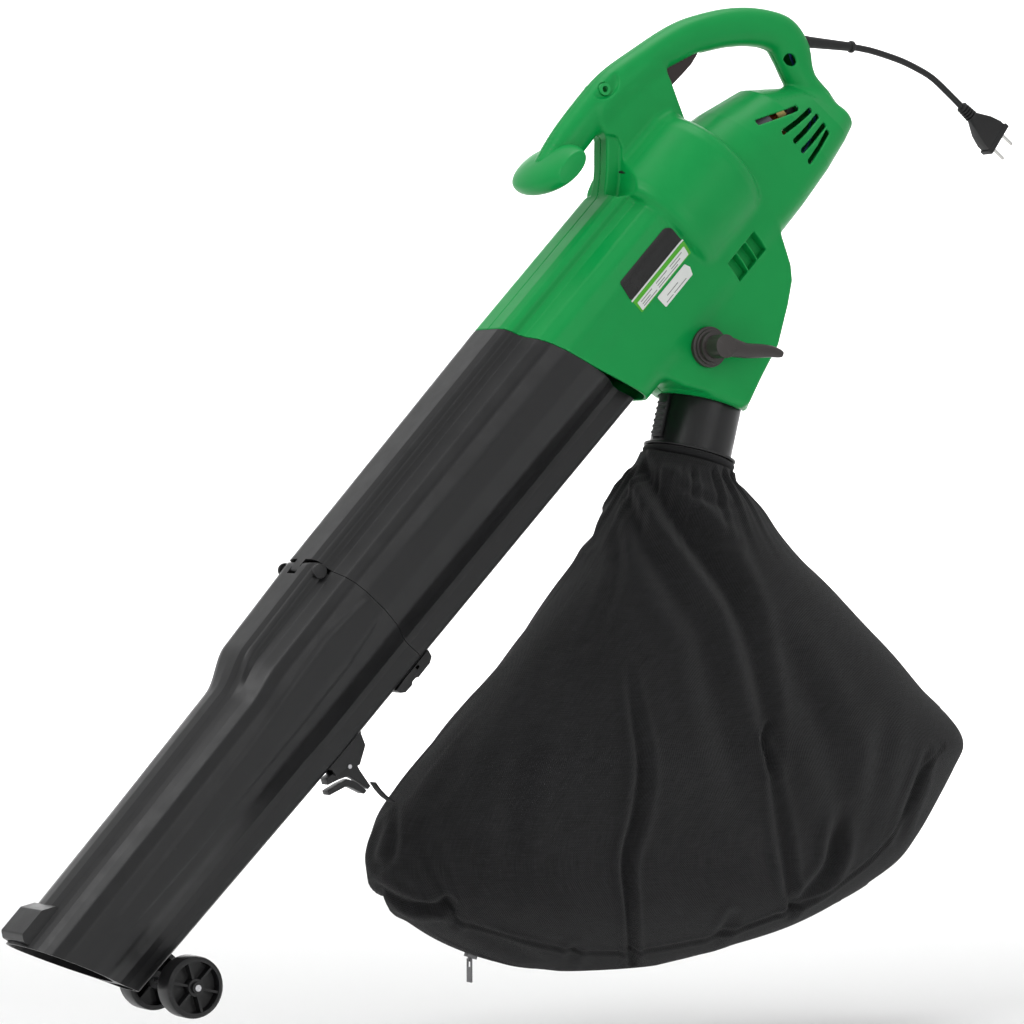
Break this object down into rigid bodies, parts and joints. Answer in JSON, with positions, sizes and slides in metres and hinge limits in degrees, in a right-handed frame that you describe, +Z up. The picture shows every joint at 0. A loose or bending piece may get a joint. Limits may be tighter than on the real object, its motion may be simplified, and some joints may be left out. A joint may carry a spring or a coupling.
{
  "type": "leaf vacuum mulcher",
  "caption": "Hand-held electric leaf vacuum, blower and mulcher: oval suction tube on wheels, loop handle, front grip, selector lever, fabric debris bag and short mains lead.",
  "frame": {"origin": "centre of the strap eyelet's hole in the front of the handle, where the shoulder strap hooks on and the machine hangs", "axes": "+Z up as the machine hangs, +X towards the motor end and the plug, +Y along the eyelet hole away from the selector lever; the suction tube's axis rises 46.3 degrees from -X to +X"},
  "size_m": [1.1403, 0.174, 0.961],
  "materials": {
    "green_plastic": "satin moulded",
    "black_plastic": "satin moulded",
    "dark_plastic": "satin moulded",
    "trigger_plastic": "satin moulded",
    "steel": "bright",
    "zinc_screw": "plated",
    "laminations": "varnished stack",
    "copper": "enamelled wire",
    "carbon": "dull",
    "holder_brass": "stamped",
    "alloy": "cast",
    "wire_blue": "soft",
    "capacitor_film": "dipped",
    "label": "printed film, plain",
    "bag_fabric": "plain weave polyester",
    "webbing": "woven tape",
    "zip_metal": "painted",
    "cable_jacket": "smooth PVC",
    "plug_pin": "nickel plated"
  },
  "bodies": {
    "housing": {"housing_left": "green_plastic", "housing_right": "green_plastic", "front_grip": "green_plastic", "strap_eyelet": "green_plastic", "housing_screws": "zinc_screw", "switch_body": "black_plastic", "trigger_pin": "steel", "trigger_spring": "steel", "inner_wires": "wire_blue", "capacitor": "capacitor_film", "stator_core": "laminations", "field_coils": "copper", "rear_bearing_bridge": "black_plastic", "brush_holders": "holder_brass", "carbon_brushes": "carbon", "motor_mount_plate": "black_plastic", "motor_bearings": "steel", "fan_inlet_ring": "black_plastic", "selector_bezel": "dark_plastic", "rating_labels": "label", "upper_tube": "black_plastic", "cord_relief": "cable_jacket", "cord": "cable_jacket", "plug_body": "cable_jacket", "plug_pins": "plug_pin"},
    "trigger": {"trigger": "trigger_plastic"},
    "rotor": {"motor_shaft": "steel", "armature_core": "laminations", "armature_windings": "copper", "commutator": "copper", "cooling_fan": "black_plastic", "impeller": "alloy", "impeller_nut": "steel"},
    "selector": {"selector_lever": "dark_plastic", "selector_shaft": "dark_plastic", "selector_flap": "black_plastic"},
    "lower_tube": {"lower_tube": "black_plastic", "tube_hinge_pin": "black_plastic", "wheel_axle": "steel", "axle_caps": "black_plastic", "bag_bracket": "black_plastic", "bag_clip": "black_plastic", "bag_clip_pin": "steel"},
    "tube_latch": {"tube_latch": "black_plastic"},
    "wheel_left": {"wheel_left": "black_plastic"},
    "wheel_right": {"wheel_right": "black_plastic"},
    "bag_clip_jaw": {"bag_clip_jaw": "black_plastic"},
    "bag_assembly": {"bag_adapter": "black_plastic", "bag_collar": "bag_fabric", "bag": "bag_fabric", "bag_strap": "webbing", "zip_slider": "zip_metal"},
    "adapter_latch": {"adapter_latch": "black_plastic"},
    "zip_pull": {"zip_pull": "zip_metal"}
  },
  "joints": [
    {"name": "trigger_squeeze", "type": "hinge", "parent": "housing", "child": "trigger", "pos_m": [0.10294, 0, 0.04548], "axis": [0, 1, 0], "range_deg": [0, 8], "stiffness_Nm_per_rad": 0.6, "springref_deg": -20.05, "deforming": ["trigger_spring"]},
    {"name": "rotor_spin", "type": "hinge", "parent": "housing", "child": "rotor", "pos_m": [0.13693, 0, -0.08106], "axis": [0.6909, 0, 0.723], "continuous": true},
    {"name": "selector_turn", "type": "hinge", "parent": "housing", "child": "selector", "pos_m": [0.0962, 0, -0.24961], "axis": [0, 1, 0], "range_deg": [-80, 0]},
    {"name": "tube_fold", "type": "hinge", "parent": "housing", "child": "lower_tube", "pos_m": [-0.32824, 0, -0.46507], "axis": [0, 1, 0], "range_deg": [0, 85]},
    {"name": "tube_latch_press", "type": "hinge", "parent": "lower_tube", "child": "tube_latch", "pos_m": [-0.22947, 0, -0.57882], "axis": [0, 1, 0], "range_deg": [0, 7], "stiffness_Nm_per_rad": 0.4, "springref_deg": -17.19},
    {"name": "wheel_left_roll", "type": "hinge", "parent": "lower_tube", "child": "wheel_left", "pos_m": [-0.46612, 0, -0.84093], "axis": [0, 1, 0], "continuous": true},
    {"name": "wheel_right_roll", "type": "hinge", "parent": "lower_tube", "child": "wheel_right", "pos_m": [-0.46612, 0, -0.84093], "axis": [0, 1, 0], "continuous": true},
    {"name": "bag_clip_open", "type": "hinge", "parent": "lower_tube", "child": "bag_clip_jaw", "pos_m": [-0.28804, 0, -0.66255], "axis": [0, 1, 0], "range_deg": [0, 10], "stiffness_Nm_per_rad": 0.15, "springref_deg": -17.19},
    {"name": "bag_release", "type": "slide", "parent": "housing", "child": "bag_assembly", "axis": [-0.2504, 0, -0.9681], "range_m": [0, 0.07], "deforming": ["bag_strap"]},
    {"name": "adapter_latch_press", "type": "hinge", "parent": "bag_assembly", "child": "adapter_latch", "pos_m": [0.08146, 0, -0.29311], "axis": [0, 1, 0], "range_deg": [0, 4], "stiffness_Nm_per_rad": 0.4, "springref_deg": -17.19},
    {"name": "zip_pull_swing", "type": "hinge", "parent": "bag_assembly", "child": "zip_pull", "pos_m": [-0.14537, 0, -0.83786], "axis": [0, 1, 0], "range_deg": [-60, 60]}
  ]
}
